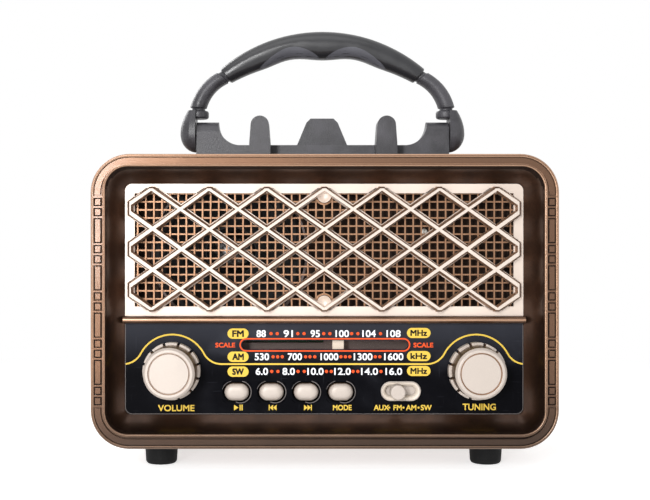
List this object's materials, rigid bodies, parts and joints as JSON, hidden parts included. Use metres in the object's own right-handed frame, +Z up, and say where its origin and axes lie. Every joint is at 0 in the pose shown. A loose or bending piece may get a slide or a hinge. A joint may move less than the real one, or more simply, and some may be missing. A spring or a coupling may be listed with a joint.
{
  "type": "table radio",
  "caption": "Retro table radio with diamond grille, dial with moving pointer, two knobs and a folding handle.",
  "frame": {"origin": "on the floor, midway between the four feet", "axes": "+X to the right seen from the front, +Y to the back, +Z up"},
  "size_m": [0.2, 0.0984, 0.1962],
  "materials": {
    "bronze_paint": "satin metallic",
    "cabinet_brown": "satin",
    "black_rubber": "matte",
    "zinc_steel": "satin",
    "cell_wrap": "satin",
    "contact_steel": "satin",
    "socket_black": "matte",
    "champagne": "satin metallic",
    "mesh_bronze": "satin",
    "baffle_brown": "matte",
    "magnet_steel": "satin",
    "cone_black": "matte",
    "led_clear": "gloss",
    "dial_black": "gloss",
    "cord": "matte",
    "ivory_plastic": "satin",
    "board_green": "satin",
    "ferrite": "matte",
    "copper": "gloss",
    "handle_black": "satin",
    "antenna_chrome": "polished"
  },
  "bodies": {
    "radio": {"front_frame": "bronze_paint", "cabinet_shell": "cabinet_brown", "rear_cover": "cabinet_brown", "feet": "black_rubber", "foot_screws": "zinc_steel", "case_screws": "zinc_steel", "battery_cell": "cell_wrap", "battery_contacts": "contact_steel", "usb_sockets": "contact_steel", "aux_socket": "socket_black", "grille_lattice": "champagne", "grille_screws": "zinc_steel", "speaker_mesh": "mesh_bronze", "baffle_board": "baffle_brown", "speaker_basket": "socket_black", "speaker_magnet": "magnet_steel", "speaker_cone": "cone_black", "speaker_dust_cap": "cone_black", "indicator_led": "led_clear", "dial_panel": "dial_black", "dial_window": "led_clear", "dial_chassis": "socket_black", "pointer_rail": "zinc_steel", "dial_cord": "cord", "pulley_pins": "zinc_steel", "tuning_capacitor": "ivory_plastic", "volume_potentiometer": "contact_steel", "tact_switches": "socket_black", "button_board": "board_green", "switch_bezel": "champagne", "band_switch_body": "contact_steel", "main_board": "board_green", "ferrite_rod": "ferrite", "ferrite_coil": "copper", "handle_base": "handle_black", "base_screws": "zinc_steel", "handle_pins": "zinc_steel"},
    "handle": {"handle_grip": "handle_black", "handle_sleeves": "handle_black", "handle_hubs": "handle_black"},
    "volume": {"volume_knob": "champagne", "volume_shaft": "contact_steel"},
    "tuning": {"tuning_knob": "champagne", "tuning_shaft": "contact_steel", "cord_drum": "ivory_plastic"},
    "pointer": {"dial_pointer": "champagne"},
    "left_roller": {"left_pulley": "ivory_plastic"},
    "idler_roller": {"idler_pulley": "ivory_plastic"},
    "play": {"play_button": "champagne"},
    "previous": {"previous_button": "champagne"},
    "next": {"next_button": "champagne"},
    "mode": {"mode_button": "champagne"},
    "band": {"band_switch_knob": "champagne"},
    "battery_lid": {"battery_door": "cabinet_brown"},
    "turret": {"antenna_turret": "antenna_chrome", "antenna_pin": "antenna_chrome"},
    "aerial_1": {"antenna_tube_1": "antenna_chrome"},
    "aerial_2": {"antenna_tube_2": "antenna_chrome"},
    "aerial_3": {"antenna_tube_3": "antenna_chrome"},
    "aerial_4": {"antenna_tip": "antenna_chrome"}
  },
  "joints": [
    {"name": "handle_fold", "type": "hinge", "parent": "radio", "child": "handle", "pos_m": [0, 0, 0.1485], "axis": [1, 0, 0], "range_deg": [-90, 90]},
    {"name": "volume_turn", "type": "hinge", "parent": "radio", "child": "volume", "pos_m": [-0.0663, -0.04575, 0.0424], "axis": [0, 1, 0], "range_deg": [-150, 150]},
    {"name": "tuning_turn", "type": "hinge", "parent": "radio", "child": "tuning", "pos_m": [0.0663, -0.04575, 0.0424], "axis": [0, 1, 0], "range_deg": [-107.27, 76.71]},
    {"name": "pointer_slide", "type": "slide", "parent": "radio", "child": "pointer", "axis": [1, 0, 0], "range_m": [-0.03372, 0.02412]},
    {"name": "left_pulley_turn", "type": "hinge", "parent": "radio", "child": "left_roller", "pos_m": [-0.042, -0.02725, 0.0584], "axis": [0, 1, 0], "range_deg": [-965.93, 690.91]},
    {"name": "idler_turn", "type": "hinge", "parent": "radio", "child": "idler_roller", "pos_m": [0.041, -0.02725, 0.0544], "axis": [0, 1, 0], "range_deg": [-690.91, 965.93]},
    {"name": "play_press", "type": "slide", "parent": "radio", "child": "play", "axis": [0, 1, 0], "range_m": [0, 0.001], "stiffness_N_per_m": 300, "springref_m": -0.0005},
    {"name": "previous_press", "type": "slide", "parent": "radio", "child": "previous", "axis": [0, 1, 0], "range_m": [0, 0.001], "stiffness_N_per_m": 300, "springref_m": -0.0005},
    {"name": "next_press", "type": "slide", "parent": "radio", "child": "next", "axis": [0, 1, 0], "range_m": [0, 0.001], "stiffness_N_per_m": 300, "springref_m": -0.0005},
    {"name": "mode_press", "type": "slide", "parent": "radio", "child": "mode", "axis": [0, 1, 0], "range_m": [0, 0.001], "stiffness_N_per_m": 300, "springref_m": -0.0005},
    {"name": "band_slide", "type": "slide", "parent": "radio", "child": "band", "axis": [1, 0, 0], "range_m": [-0.0033, 0.0066]},
    {"name": "battery_door_open", "type": "hinge", "parent": "radio", "child": "battery_lid", "pos_m": [-0.038, 0.04825, 0.0263], "axis": [-1, 0, 0], "range_deg": [0, 100]},
    {"name": "antenna_swing", "type": "hinge", "parent": "radio", "child": "turret", "pos_m": [0.076, 0.04485, 0.1289], "axis": [0, 1, 0], "range_deg": [0, 180]},
    {"name": "antenna_tilt", "type": "hinge", "parent": "turret", "child": "aerial_1", "pos_m": [0.076, 0.04485, 0.1289], "axis": [0, 0, -1], "range_deg": [0, 90]},
    {"name": "antenna_pull_1", "type": "slide", "parent": "aerial_1", "child": "aerial_2", "axis": [-1, 0, 0], "range_m": [0, 0.12]},
    {"name": "antenna_pull_2", "type": "slide", "parent": "aerial_2", "child": "aerial_3", "axis": [-1, 0, 0], "range_m": [0, 0.12]},
    {"name": "antenna_pull_3", "type": "slide", "parent": "aerial_3", "child": "aerial_4", "axis": [-1, 0, 0], "range_m": [0, 0.12]}
  ],
  "couplings": [
    {"joint": "pointer_slide", "follows": "tuning_turn", "m_per_rad": 0.018},
    {"joint": "left_pulley_turn", "follows": "tuning_turn", "ratio": 9},
    {"joint": "idler_turn", "follows": "tuning_turn", "ratio": -9}
  ]
}
